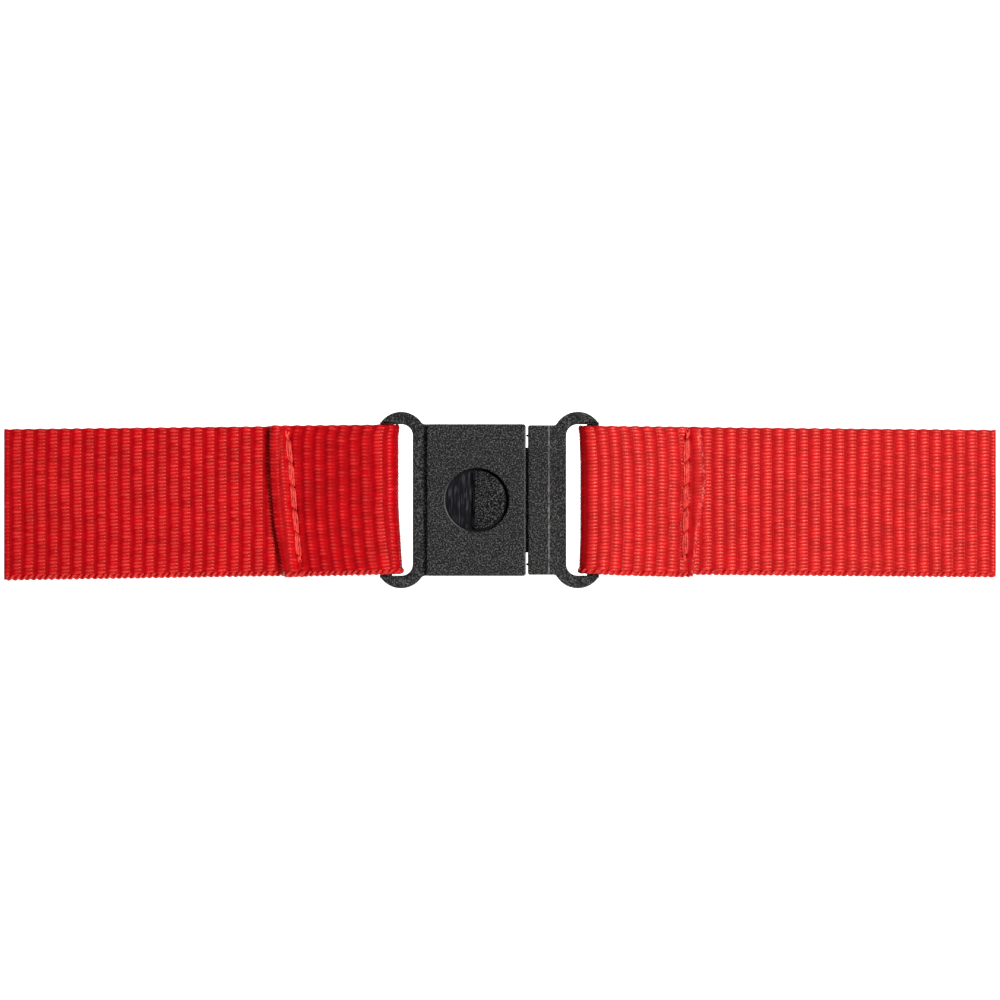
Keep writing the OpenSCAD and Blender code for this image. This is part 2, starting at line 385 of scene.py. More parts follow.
def make_ribbon(ribbon):
    """The woven ribbon as one closed mesh with its yarns in relief on both faces."""
    columns = ribbon_columns()
    s, centre, normal = ribbon.grid(columns)
    w = np.broadcast_to(columns, s.shape)
    y = ribbon.across(s, w)
    rows, cols = s.shape

    half = WEAVE_W / 2
    from_edge = half - np.abs(w) * half
    round_off = np.sqrt(np.clip(1 - (1 - np.clip(from_edge / EDGE_ROUND, 0, 1)) ** 2, 0.06, 1))
    turn = bell(s - ribbon.bar_s + 1, 2)
    thin = 0.42 + 0.4 * turn
    beside_cord = thin + (1 - thin) * ramp(from_edge, CORD_WIDTH * 0.6, CORD_WIDTH)
    round_off = round_off * np.where(w < 0, beside_cord, 1)
    y = y + np.sign(w) * 0.05 * bell(from_edge, 0.4) * np.cos(2 * math.pi * s / RIB_PITCH)
    y = y + 0.16 * bell(from_edge, 0.3) * (w < 0)
    ends = np.array([r[0][-1] for r in ribbon.routes])
    bead = np.sqrt(np.clip(1 - (1 - np.clip((ends - s) / 0.45, 0, 1)) ** 2, 0.05, 1))
    round_off = round_off * bead

    # The needle pulls the upper layer down along the seam, most of all at each hole
    on_top = s > ribbon.bar_s
    seam = centre[:, :, 0] - ribbon.seam_u(y)
    hole_phase = (y - ribbon.first_hole) / STITCH_PITCH
    hole = bell(hole_phase - np.round(hole_phase), 0.11)
    pit = hole * bell(seam, 0.32)
    groove = bell(seam, 0.8) * (0.15 + 0.42 * pit)
    dip = np.where(on_top & (s < ribbon.end_s - ribbon.tail_keep), -groove, 0)
    dip = dip + np.where(~on_top, 0.35 * groove, 0)

    puckers = 0.035 * waves(ribbon.rng, s, y, 9)
    fused = ribbon.fused(s, ends)
    faces_verts, painted_light_heights, shades, middles = [], [], [], []
    for flip in (1, -1):
        height, middle, shade = weave_height(ribbon, s, w, flip)
        cavity = height * (1 - 0.15 * fused) * (1 - 0.6 * turn)
        height = height * (1 - 0.75 * fused) * (1 - 0.6 * turn)
        core = RIBBON_T / 2 - RIB_LIFT - YARN_DOME
        offset = flip * (core + height) * round_off
        lump = 0.035 * waves(ribbon.rng, s, y, 1.3) + 0.02 * waves(ribbon.rng, s, y, 0.6)
        offset = offset + flip * fused * lump
        u = centre[:, :, 0] + normal[:, :, 0] * offset
        v = centre[:, :, 1] + normal[:, :, 1] * offset + dip + puckers * ramp(s, 3, 12) * on_top
        faces_verts.append(ribbon.place(u, v, y).reshape(-1, 3))
        # The height read for the cloth's painted shade and painted highlight, lowered at the stitch holes
        # for painted shade there
        painted_light_heights.append((cavity / (RIB_LIFT + YARN_DOME) - 1.5 * pit * on_top).ravel())
        shades.append(shade.ravel())
        # Nearness to a yarn's middle sets the gloss and where the painted shade and painted highlight go;
        # on fused cloth it is uneven
        uneven = 0.5 + 0.5 * waves(ribbon.rng, s, y, 1.5)
        middles.append((middle + fused * (uneven - middle)).ravel())

    number = np.arange(rows * cols).reshape(rows, cols)
    other = number + rows * cols
    quads = []
    for face, order in ((number, (0, 1, 2, 3)), (other, (0, 3, 2, 1))):
        corners = [face[:-1, :-1], face[1:, :-1], face[1:, 1:], face[:-1, 1:]]
        quads.append(np.stack([corners[k] for k in order], -1).reshape(-1, 4))
    for j, order in ((0, 1), (cols - 1, -1)):
        strip = np.stack([number[:-1, j], other[:-1, j], other[1:, j], number[1:, j]], -1)
        quads.append(strip[:, ::order])
    for i, order in ((0, -1), (rows - 1, 1)):
        strip = np.stack([number[i, :-1], other[i, :-1], other[i, 1:], number[i, 1:]], -1)
        quads.append(strip[:, ::order])
    faces = np.concatenate(quads).tolist()

    obj = new_object(ribbon.name + "_ribbon_cloth", np.concatenate(faces_verts), faces)
    point_values(obj, "crest", np.concatenate(painted_light_heights))
    point_values(obj, "shade", np.concatenate(shades))
    point_values(obj, "yarn_middle", np.concatenate(middles))
    point_values(obj, "fused", np.concatenate([fused.ravel(), fused.ravel()]))
    return obj


# ------------------------------------------------------------------ the two straps


def left_tail(ribbon, w):
    """The left tail is hemmed: it rises over its folded-under end, and the fold's edge is slanted."""
    y = 10 * w
    edge_y = [-10, -7.2, -5.5, -3.6, -1.7, 2, 5.2]
    fold_u = np.interp(y, edge_y, [13.27, 13.68, 13.98, 14.4, 14.6, 14.95, 15.16])
    stitch_u = ribbon.seam_u(y)
    top_v = ribbon.upper_v + HEM_RISE
    return [
        (stitch_u - 0.1, ribbon.upper_v, 0.8),
        (stitch_u + 1.1, top_v, 1.0),
        (fold_u, top_v, HEM_RISE / 2 * 0.97),
        (fold_u, ribbon.upper_v, HEM_RISE / 2 * 0.97),
        (stitch_u + 0.75, ribbon.upper_v, 0),
    ]


def right_tail(ribbon, w):
    """The right tail ends raw, cut a little askew with a hot knife."""
    y = 10 * w
    end_u = np.interp(y, [-10, -4.5, -1.7, 2.5, 6, 10], [13.25, 13.9, 14.4, 15.0, 14.75, 14.3])
    return [(ribbon.seam_u(y) + 0.2, ribbon.upper_v, 1.5), (end_u, ribbon.upper_v + 0.3, 0)]


def left_slack(w):
    """How far the turn stands off the bar: the lower corner hangs loose."""
    places = [-1, -0.9, -0.65, -0.38, -0.07, 0.85, 0.96, 1]
    return np.interp(w, places, [0.6, 0.5, 0.32, 0.16, 0, 0, 0.16, 0.1])


def right_slack(w):
    """The same on the right, where both corners stand off a little."""
    return np.interp(w, [-1, -0.88, -0.5, 0.5, 0.88, 1], [0.26, 0.13, 0.02, 0.02, 0.15, 0.3])


def left_fused(s, ends):
    """1 where the cloth is melted together at its cut end, and partly so where the hem is pressed flat."""
    return np.maximum(1 - ramp(s, 0.05, 0.3), 0.38 * ramp(s, ends - 6.2, ends - 5.2))


def right_fused(s, ends):
    """1 where the cloth is melted together at its two ends, and partly so from there to the seam."""
    reach = 0.75
    melted = np.maximum(1 - ramp(s, 0.1, 0.4), ramp(s, ends - reach, ends - reach * 0.35))
    return np.maximum(melted, 0.55 * ramp(s, ends - 2.1, ends - 1.6))


left = Ribbon(
    "left",
    "left_strap_swing",
    -1,
    lie=[(9.4, -10.7), (9.97, -9.86), (9.85, -10.3)],
    slack=left_slack,
    tail=left_tail,
    seam=(12.25, 0.092),
    seed=11,
)
right = Ribbon(
    "right",
    "right_strap_swing",
    1,
    lie=[(9.3, -10.3), (9.82, -9.82), (9.7, -10.3)],
    slack=right_slack,
    tail=right_tail,
    seam=(12.3, 0.015),
    seed=23,
)
# Y of the first stitch hole, how much of the tail's end the needle doesn't pull down, how much higher the
# last strand of a stitch lies than the first, and how deep the strands lie in the cloth
left.first_hole, right.first_hole = 8.05, 8.2
left.tail_keep, right.tail_keep = 3.4, 0.0
left.hem_slope, right.hem_slope = 0.08, 0.0
left.sink, right.sink = 0.08, 0.135
left.fused, right.fused = left_fused, right_fused


# ------------------------------------------------------------------ sewing threads


def stitch_holes(ribbon):
    """Y of each needle hole, from the first one down to the ribbon's lower edge."""
    holes = []
    y = ribbon.first_hole
    while y > LOWEST_HOLE:
        holes.append(y)
        y -= STITCH_PITCH
    return holes


def strand_routes(ribbon, over_v, lock_v, sign, rng):
    """The plies of each stitch, side by side from hole to hole, where they dive into the cloth."""
    routes = []
    holes = stitch_holes(ribbon)
    for y0, y1 in zip(holes, holes[1:]):
        lean = rng.uniform(-0.05, 0.05)
        for ply in (-1, 0, 1):
            t = np.linspace(0, 1, 22)
            y = y0 + (y1 - y0) * (0.02 + 0.96 * t) + 0.16 * ply
            belly = np.sin(math.pi * t)
            gathered = 0.35 + 0.65 * np.clip(belly, 0, 1) ** 0.3
            spread = (ply * STRAND_GAP + rng.uniform(-0.03, 0.03)) * gathered
            twist = 0.03 * np.sin(2 * math.pi * (1.2 * t + ply / 3 + rng.uniform(0, 1)))
            u = ribbon.seam_u(y) + spread + (twist + lean * (t - 0.5)) * belly
            dive = np.exp(-t / 0.035) + np.exp(-(1 - t) / 0.035)
            v = over_v + sign * (0.04 * belly + (0.05 if ply == 0 else 0)) - (over_v - lock_v) * dive
            v = v + ribbon.hem_slope * sign * max(ply, 0)
            routes.append(ribbon.place(u, v, y))
    return routes


def thread_ends(ribbon, over_v, rng):
    """The short cut ends left at the first hole and at the last one."""
    routes = []
    first = ribbon.first_hole
    for reach, bend in ((1.15, 0.28), (0.95, -0.12)):
        t = np.linspace(0, 1, 10)
        u = ribbon.seam_u(first) + bend * t + 0.12 * np.sin(3 * t)
        routes.append(ribbon.place(u, over_v + 0.04 + 0.1 * np.sin(math.pi * t), first + reach * t))
    last = stitch_holes(ribbon)[-1]
    for reach, bend in ((0.9, 0.35), (0.7, -0.45), (1.05, -0.1)):
        t = np.linspace(0, 1, 10)
        y = last - reach * t
        u = ribbon.seam_u(last) + bend * t * t + rng.uniform(-0.08, 0.08)
        routes.append(ribbon.place(u, over_v + 0.02 - 0.5 * t * t, y))
    return routes


def make_threads(ribbon, material):
    """The needle thread on the upper face and the bobbin thread on the lower one."""
    rng = np.random.RandomState(ribbon.rng.randint(1 << 30))
    top_v = ribbon.upper_v + RIBBON_T / 2 - ribbon.sink
    bottom_v = ribbon.lower_v - RIBBON_T / 2 + STRAND_R + 0.08
    lock_v = ribbon.lower_v + RIBBON_T / 2
    needle = strand_routes(ribbon, top_v, lock_v, 1, rng) + thread_ends(ribbon, top_v, rng)
    bobbin = strand_routes(ribbon, bottom_v, lock_v, -1, rng)
    for kind, routes in (("needle", needle), ("bobbin", bobbin)):
        verts, faces = joined([tube(route, STRAND_R, 7) for route in routes])
        obj = new_object(f"{ribbon.name}_{kind}_stitches", verts, faces)
        obj.data.materials.append(material)
        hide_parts(f"{ribbon.name}_{kind}_thread")
        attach(obj, ribbon.name + "_strap")


# ------------------------------------------------------------------ the corded edge

# Distance in which the two yarns turn once round each other
CORD_LEAD = 1.62


def make_edge_cord(ribbon, material):
    """The two yarns that twist round each other along the ribbon's lower edge and lock the weft."""
    along, points = ribbon_route(ribbon, -0.985)
    rng = np.random.RandomState(ribbon.rng.randint(1 << 30))
    turns = (along[-1] - 0.5) / CORD_LEAD
    strands = []
    for start in (0, math.pi):
        t = np.linspace(0, turns, int(turns * 18))
        theta = 2 * math.pi * t + start
        s = 0.25 + CORD_LEAD * t + 0.06 * np.sin(theta * 0.37 + rng.uniform(0, 6))
        u, v = np.interp(s, along, points[:, 0]), np.interp(s, along, points[:, 1])
        du = np.interp(s + 0.05, along, points[:, 0]) - np.interp(s - 0.05, along, points[:, 0])
        dv = np.interp(s + 0.05, along, points[:, 1]) - np.interp(s - 0.05, along, points[:, 1])
        length = np.hypot(du, dv)
        height = 0.33 * np.cos(theta)
        u, v = u - dv / length * height, v + du / length * height
        y = ribbon.across(s, -1) + 0.4 + 0.16 * bell(s - ribbon.bar_s, 4)
        y = y + ribbon.side * 0.27 * np.sin(theta)
        radius = 0.15 + 0.035 * np.abs(np.cos(theta)) + 0.012 * np.sin(theta * 0.61 + start)
        strands.append(tube(ribbon.place(u, v, y), radius, 7))
    obj = new_object(ribbon.name + "_edge_cord", *joined(strands))
    # The cord gets no painted shade and the full painted highlight
    point_values(obj, "crest", np.ones(len(obj.data.vertices)))
    point_values(obj, "yarn_middle", np.ones(len(obj.data.vertices)))
    obj.data.materials.append(material)
    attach(obj, ribbon.name + "_strap")
    return obj


# ------------------------------------------------------------------ materials


def put(socket, value):
    """Gives a node's input its value, or a link from another node's output."""
    if isinstance(value, bpy.types.NodeSocket):
        socket.id_data.links.new(value, socket)
    else:
        socket.default_value = value


def adder(tree):
    """A function that adds a node to tree and gives its inputs their values."""

    def add(kind, **inputs):
        node = tree.nodes.new(kind)
        for key, value in inputs.items():
            put(node.inputs[key.replace("_", " ")], value)
        return node

    return add


def new_material(name, colour, roughness):
    """A material, its main shader, and a function that adds a node to it."""
    material = bpy.data.materials.new(name)
    material.use_nodes = True
    shader = material.node_tree.nodes["Principled BSDF"]
    shader.inputs["Base Color"].default_value = (*colour, 1)
    shader.inputs["Roughness"].default_value = roughness
    return material, shader, adder(material.node_tree)


def mixed(add, kind, factor, a, b):
    """A colour mix of a and b."""
    node = add("ShaderNodeMix")
    node.data_type = "RGBA"
    node.blend_type = kind
    for index, value in ((0, factor), (6, a), (7, b)):
        put(node.inputs[index], value)
    return node.outputs[2]


def mapped(add, value, low, high, to_low, to_high):
    """value with low..high stretched to to_low..to_high, and no farther."""
    ends = {"From_Min": low, "From_Max": high, "To_Min": to_low, "To_Max": to_high}
    return add("ShaderNodeMapRange", Value=value, **ends).outputs["Result"]


def maths(add, operation, *values):
    """A calculation with one or two values, each a number or another node's output."""
    node = add("ShaderNodeMath")
    node.operation = operation
    for socket, value in zip(node.inputs, values):
        put(socket, value)
    return node.outputs[0]


def product(add, *values):
    """The product of several values."""
    total = values[0]
    for value in values[1:]:
        total = maths(add, "MULTIPLY", total, value)
    return total


def band(add, value, centre, half, soft):
    """1 where value is within half of centre, and 0 once it is soft farther away."""
    away = maths(add, "ABSOLUTE", maths(add, "SUBTRACT", value, centre))
    return mapped(add, away, half, half + soft, 1, 0)


def noise(add, place, scale, detail=2.0, **inputs):
    """A noise texture's value at place."""
    return add("ShaderNodeTexNoise", Vector=place, Scale=scale, Detail=detail, **inputs).outputs["Fac"]


def attribute(add, name):
    """A value stored on the mesh's points."""
    node = add("ShaderNodeAttribute")
    node.attribute_name = name
    return node.outputs["Fac"]


def from_axis(add, place, x):
    """Distance in plan from the upright axis at x."""
    shifted = add("ShaderNodeMapping", Vector=place, Location=(-x * MM, 0, 0), Scale=(1, 1, 0))
    length = add("ShaderNodeVectorMath", Vector=shifted.outputs[0])
    length.operation = "LENGTH"
    return length.outputs["Value"]


def bumped(add, shader, height, strength, distance):
    """Gives the shader a fine relief."""
    node = add("ShaderNodeBump", Height=height, Strength=strength, Distance=distance)
    put(shader.inputs["Normal"], node.outputs[0])


def cloth_material(name, gloss, highlight_dash):
    """Dyed polyester yarn with painted shade: darker low between the ribs and between the yarns, each float
    its own shade, fine filaments along it.
    The top of each float carries a painted highlight from the first given crest height on, fully so at the
    second, by the given share."""
    material, shader, add = new_material(name, (0.56, 0.0008, 0.006), 0.29)
    place = add("ShaderNodeTexCoord").outputs["Object"]
    height = attribute(add, "crest")
    middle = attribute(add, "yarn_middle")
    # Painted shade: the cloth is darker where it lies low, between the ribs and in the stitch holes
    crest = mapped(add, height, 0.45, 0.95, 0, 1)
    body = mixed(add, "MIX", crest, (0.42, 0.0005, 0.005, 1), (0.56, 0.0008, 0.006, 1))
    # Painted shade in the gaps between the yarns
    body = mixed(add, "MULTIPLY", mapped(add, middle, 0, 0.8, 1, 0), body, (0.86, 0.5, 0.5, 1))
    # Painted highlight on the top of each float
    high = mapped(add, height, highlight_dash[0], highlight_dash[1], 0, highlight_dash[2])
    highlight_tops = product(add, high, mapped(add, middle, 0.3, 0.85, 0, 1))
    body = mixed(add, "MIX", highlight_tops, body, (0.62, 0.05, 0.042, 1))
    shade = mapped(add, attribute(add, "shade"), -1, 1, 0.86, 1.14)
    blotches = mapped(add, noise(add, place, 260.0, 3.0), 0.3, 0.7, 0.93, 1.07)
    body = mixed(add, "MULTIPLY", 1.0, body, shade)
    body = mixed(add, "MULTIPLY", 1.0, body, blotches)
    # Melted cloth is frosted
    frosting = product(
        add,
        mapped(add, noise(add, place, 3200.0), 0.5, 0.62, 0, 1),
        mapped(add, attribute(add, "fused"), 0.8, 1.0, 0, 0.38),
    )
    body = mixed(add, "MIX", frosting, body, (0.7, 0.2, 0.2, 1))
    put(shader.inputs["Base Color"], body)
    put(shader.inputs["Roughness"], mapped(add, middle, 0.1, 0.8, 0.95, 0.31))

    # Filaments are long across the ribs, so their noise is stretched along X
    stretch = add("ShaderNodeMapping", Vector=place, Scale=(900.0, 14000.0, 9000.0))
    bumped(add, shader, noise(add, stretch.outputs[0], 1.0), 0.35, 0.00003)
    shader.inputs["Specular IOR Level"].default_value = gloss
    shader.inputs["Specular Tint"].default_value = (0.92, 0.32, 0.23, 1)
    return material


def thread_material():
    """Twisted sewing thread, lighter than the ribbon."""
    material, shader, add = new_material("sewing_thread", (0.6, 0.015, 0.02), 0.38)
    place = add("ShaderNodeTexCoord").outputs["Object"]
    tone = mapped(add, noise(add, place, 1800.0), 0.3, 0.7, 0, 1)
    colour = mixed(add, "MIX", tone, (0.5, 0.008, 0.012, 1), (0.8, 0.06, 0.04, 1))
    put(shader.inputs["Base Color"], colour)
    turn = add("ShaderNodeMapping", Vector=place, Rotation=(0.0, 0.0, 0.6), Scale=(9000.0, 2500.0, 6000.0))
    bumped(add, shader, noise(add, turn.outputs[0], 1.0, 1.0), 0.5, 0.00004)
    shader.inputs["Specular Tint"].default_value = (1.0, 0.6, 0.5, 1)
    shader.inputs["Sheen Weight"].default_value = 0.1
    return material


# Size and depth of the mouldings' grain, for the noise and in metres
GRAIN_SCALE = 5200.0
GRAIN_DEPTH = 0.00014


def plastic_material(name, highlight_x, highlight_share, ring=None):
    """Black moulded plastic with a spark-eroded grain: pits, and small peaks that are lighter. Painted
    highlights lie along the top of its straight edge at the given X, by the given share, and on the lower
    left of the edge of a round hole at (x, radius)."""
    material, shader, add = new_material(name, (0.02, 0.02, 0.0205), 0.5)
    place = add("ShaderNodeTexCoord").outputs["Object"]
    pits = noise(add, place, GRAIN_SCALE, Roughness=0.6)
    lumps = noise(add, place, GRAIN_SCALE / 2)
    bumped(add, shader, maths(add, "ADD", pits, lumps), 1.0, GRAIN_DEPTH)
    speck = mapped(add, pits, 0.49, 0.67, 0, 1)
    tone = mixed(add, "MIX", speck, (0.0015, 0.0015, 0.0018, 1), (0.095, 0.095, 0.092, 1))
    tone = mixed(add, "MULTIPLY", 1.0, tone, mapped(add, noise(add, place, 140.0), 0.3, 0.7, 0.9, 1.1))
    split = add("ShaderNodeSeparateXYZ", Vector=place)
    upper = mapped(add, split.outputs["Z"], (BUCKLE_H - 0.5) * MM, (BUCKLE_H - 0.3) * MM, 0, 1)
    # Painted highlight along the top of the straight edge, its strength broken up by noise
    broken_highlight = mapped(add, noise(add, place, 1300.0), 0.35, 0.65, 0.25 * highlight_share, highlight_share)
    edge = product(add, band(add, split.outputs["X"], highlight_x * MM, 0.00005, 0.00009), upper, broken_highlight)
    tone = mixed(add, "MIX", edge, tone, (0.19, 0.19, 0.185, 1))
    if ring:
        # Painted highlight on the lower left of the window's edge, the side that faces the key light
        lit_lower_left = product(
            add,
            mapped(add, split.outputs["X"], (ring[0] - 1) * MM, (ring[0] - 3) * MM, 0, 1),
            mapped(add, split.outputs["Y"], 0.003, -0.001, 0, 1),
        )
        near_edge = band(add, from_axis(add, place, ring[0]), ring[1] * MM, 0.00006, 0.00004)
        rim_highlight = product(add, near_edge, upper, lit_lower_left)
        tone = mixed(add, "MIX", rim_highlight, tone, (0.11, 0.11, 0.11, 1))
    put(shader.inputs["Base Color"], tone)
    put(shader.inputs["Roughness"], mapped(add, pits, 0.4, 0.65, 0.68, 0.42))
    shader.inputs["Specular IOR Level"].default_value = 0.24
    return material


def latch_material():
    """The finger is polished and darker, with faint mill lines; the boss's top has the grain of the rest,
    and its low ramp keeps the darker polish as painted shade.
    """
    material, shader, add = new_material("latch_plastic", (0.006, 0.006, 0.0075), 0.36)
    place = add("ShaderNodeTexCoord").outputs["Object"]
    stretch = add("ShaderNodeMapping", Vector=place, Scale=(7000.0, 500.0, 3000.0))
    lines = mapped(add, noise(add, stretch.outputs[0], 1.0), 0.5, 0.7, 0, 1)
    polished = mixed(add, "MIX", lines, (0.004, 0.004, 0.0055, 1), (0.05, 0.048, 0.057, 1))
    # Painted shade: the finger is darker near the window's wall, where the wall shadows it
    inner = mapped(add, from_axis(add, place, WINDOW_X), 0.0037, 0.0042, 1, 0.1)
    polished = mixed(add, "MIX", inner, (0.001, 0.001, 0.0015, 1), polished)
    pits = noise(add, place, GRAIN_SCALE, Roughness=0.6)
    grain = mapped(add, pits, 0.49, 0.67, 0, 1)
    rough = mixed(add, "MIX", grain, (0.0005, 0.0005, 0.001, 1), (0.092, 0.092, 0.094, 1))
    split = add("ShaderNodeSeparateXYZ", Vector=place)
    # Grain starts high on the boss: its low ramp keeps the darker polish, a painted shade for the shadow
    # that falls there
    raised = mapped(add, split.outputs["Z"], 0.0048, 0.00495, 0, 1)
    put(shader.inputs["Base Color"], mixed(add, "MIX", raised, polished, rough))
    bumped(add, shader, product(add, pits, raised), 0.8, GRAIN_DEPTH)
    shader.inputs["Specular IOR Level"].default_value = 0.06
    return material


# ------------------------------------------------------------------ solid shapes


def arc_points(centre, radius, start, stop, step=7):
    """Points on a circle from one angle to another, in degrees, both ends included."""
    count = max(2, math.ceil(abs(stop - start) / step))
    angles = np.radians(np.linspace(start, stop, count + 1))
    return [(centre[0] + radius * math.cos(a), centre[1] + radius * math.sin(a)) for a in angles]


def mirrored(points):
    """The same points on the other side of the X axis, in the opposite order."""
    return [(x, -y) for x, y in reversed(points)]


def rounded_box(x0, x1, y0, y1, radius):
    """A rectangle with round corners, anticlockwise."""
    r = radius
    centres = ((x1 - r, y1 - r), (x0 + r, y1 - r), (x0 + r, y0 + r), (x1 - r, y0 + r))
    return [p for k, c in enumerate(centres) for p in arc_points(c, r, 90 * k, 90 * k + 90)]


def inset(points, distance):
    """An outline moved inwards. The outline runs anticlockwise."""
    points = np.array(points)
    ahead = np.roll(points, -1, axis=0) - points
    behind = points - np.roll(points, 1, axis=0)
    ahead /= np.linalg.norm(ahead, axis=1)[:, None]
    behind /= np.linalg.norm(behind, axis=1)[:, None]
    inward = np.stack([-ahead[:, 1] - behind[:, 1], ahead[:, 0] + behind[:, 0]], axis=1)
    inward /= np.linalg.norm(inward, axis=1)[:, None]
    along = inward[:, 0] * -ahead[:, 1] + inward[:, 1] * ahead[:, 0]
    return points + inward * (distance / np.maximum(along, 0.35))[:, None]


def prism(outline, z0, z1, radius, turns=3):
    """Vertices and faces of an upright block with that outline, its upper and lower edges rounded."""
    count = len(outline)
    levels = []
    for k in range(turns + 1):
        a = math.pi / 2 * k / turns
        levels.append((radius * (1 - math.sin(a)), z0 + radius * (1 - math.cos(a))))
    levels += [(depth, z0 + z1 - z) for depth, z in reversed(levels)]
    verts = []
    for depth, z in levels:
        verts += [(x, y, z) for x, y in inset(outline, depth)]
    faces = []
    for level in range(len(levels) - 1):
        for k in range(count):
            n = (k + 1) % count
            low, high = level * count, (level + 1) * count
            faces.append((low + k, low + n, high + n, high + k))
    caps = tessellate_polygon([[Vector((x, y, 0)) for x, y in inset(outline, radius)]])
    top = (len(levels) - 1) * count
    faces += [tuple(reversed(turned_up(verts, f))) for f in caps]
    faces += [tuple(top + i for i in turned_up(verts, f)) for f in caps]
    return verts, faces


def turned_up(verts, face):
    """The face's corners in the order that makes it look up."""
    a, b, c = (np.array(verts[i][:2]) for i in face)
    ccw = (b[0] - a[0]) * (c[1] - a[1]) - (b[1] - a[1]) * (c[0] - a[0]) > 0
    return tuple(face) if ccw else tuple(reversed(face))


def lathe(profile, segments=96):
    """Vertices and faces of a closed shape turned about Z, from (radius, z) points off the axis."""
    verts, faces = [], []
    count = len(profile)
    for k in range(segments):
        a = 2 * math.pi * k / segments
        verts += [(r * math.cos(a), r * math.sin(a), z) for r, z in profile]
    for k in range(segments):
        n = (k + 1) % segments
        for i in range(count - 1):
            faces.append((k * count + i, n * count + i, n * count + i + 1, k * count + i + 1))
    for end in (0, count - 1):
        ring = [k * count + end for k in range(segments)]
        faces.append(tuple(reversed(ring)) if end == 0 else tuple(ring))
    return verts, faces


def moved(shape, offset):
    """A shape moved by offset."""
    verts, faces = shape
    return [tuple(np.add(v, offset)) for v in verts], faces


def mapped_to(shape, function):
    """A shape with each vertex (x, y, z) put where function says."""
    verts, faces = shape
    return [function(*v) for v in verts], faces


def split_at(obj, x):
    """Cuts the faces of obj along the plane at x, so that its points there can move."""
    mesh = bmesh.new()
    mesh.from_mesh(obj.data)
    parts = mesh.verts[:] + mesh.edges[:] + mesh.faces[:]
    bmesh.ops.bisect_plane(mesh, geom=parts, plane_co=(x * MM, 0, 0), plane_no=(1, 0, 0), dist=1e-7)
    mesh.to_mesh(obj.data)
    mesh.free()


def combine(name, first, *steps):
    """One solid from several: first is a shape or an object, each step an operation and a shape."""
    result = first if isinstance(first, bpy.types.Object) else new_object(name, *first)
    for operation, shape in steps:
        other = new_object(name + "_step", *shape)
        modifier = result.modifiers.new("step", "BOOLEAN")
        modifier.operation, modifier.object, modifier.solver = operation, other, "EXACT"
        evaluated = result.evaluated_get(bpy.context.evaluated_depsgraph_get())
        mesh = bpy.data.meshes.new_from_object(evaluated)
        result.modifiers.clear()
        result.data = mesh
        bpy.data.objects.remove(other)
    result.data.name = name
    return result


def finish_moulding(obj, material, node, body):
    """Smooth shading round the rounded edges, flat on the flats."""
    obj.data.polygons.foreach_set("use_smooth", [True] * len(obj.data.polygons))
    obj.data.set_sharp_from_angle(angle=math.radians(40))
    normals = obj.modifiers.new("normals", "WEIGHTED_NORMAL")
    normals.keep_sharp = True
    obj.data.materials.clear()
    obj.data.materials.append(material)
    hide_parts(node)
    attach(obj, body)


# ------------------------------------------------------------------ buckle

# The same sizes as in the CAD model, apart from the fine edges. A box is its lowest and highest X, then Y
BUCKLE_H = cad_bounds[1][2] / MM
MID_Z = BUCKLE_H / 2
HOUSING_X = (-9.63, 3.4)
HOUSING_W = 20.0
BLOCK_X = 3.7
BLOCK_W = 19.7
CREASE_X = 6.5
CORNER_R = 0.35
EDGE_R = 0.22
BAR_OFFSET = 2.0
LOOP_L, LOOP_R, LOOP_T = 23.3, 3.27, 3.0
SLOT_L, SLOT_R = 20.0, 1.54
FILLET_R = 0.7
WINDOW_X, WINDOW_R, WINDOW_EDGE = -3.03, 4.2, 0.13
CAVITY = (-9.0, 4.4, -7.05, 7.05)
CAVITY_Z = (1.0, 4.4)
GROOVE_W, GROOVE_T = 7.8, 0.35
TONGUE = (-8.8, BLOCK_X + 0.5, -6.92, 6.92)
TONGUE_Z = (1.1, 4.3)
SLIT = (-7.6, 2.6, -4.7, 4.7)
PIP_R, PIP_Y = 0.14, 8.5
FINGER = (-7.6, 2.2, -4.4, 4.4)
FINGER_T = 1.2
BOSS_R, BOSS_FLAT_X = 3.8, -3.7
DISH_X, DISH_R, DISH_DEPTH = -1.3, 1.5, 0.3


def loop_outline(width, web):
    """A strap loop in plan, anticlockwise, open where its bar goes. The slot's middle is at 0 and the
    body on +X."""
    end_y = LOOP_L / 2 - LOOP_R
    start = 180 - math.degrees(math.asin((SLOT_L / 2 - end_y) / LOOP_R))
    rise = width / 2 + FILLET_R - end_y
    reach = LOOP_R + FILLET_R
    touch = math.degrees(math.asin(rise / reach))
    fillet_x = math.sqrt(reach**2 - rise**2)
    outer = arc_points((0, end_y), LOOP_R, start, touch)
    outer += arc_points((fillet_x, width / 2 + FILLET_R), FILLET_R, 180 + touch, 270)[1:]
    outer += [(web, width / 2)]
    inner = arc_points((0, SLOT_L / 2 - SLOT_R), SLOT_R, 90, 0)
    points = outer + mirrored(outer) + [(x, -y) for x, y in inner] + inner[::-1]
    kept = [p for p, q in zip(points, points[1:] + points[:1]) if math.dist(p, q) > 1e-6]
    return kept[::-1]


def strap_loop(slot_x, side, width, web):
    """The loop's plate and its round bar, as two shapes in place. side is 1 for a body on +X."""
    plate = prism(loop_outline(width, web), MID_Z - LOOP_T / 2, MID_Z + LOOP_T / 2, 0.3, 4)
    plate = mapped_to(plate, lambda x, y, z: (slot_x + side * x, y, z))
    half = SLOT_L / 2 + 0.3
    edge = 0.05
    ends = [(BAR_R - edge, -half), (BAR_R, -half + edge), (BAR_R, half - edge), (BAR_R - edge, half)]
    bar = lathe(ends, 48)
    bar_x = slot_x - side * BAR_OFFSET
    bar = mapped_to(bar, lambda x, y, z: (bar_x + x, z, MID_Z + y))
    return plate, bar


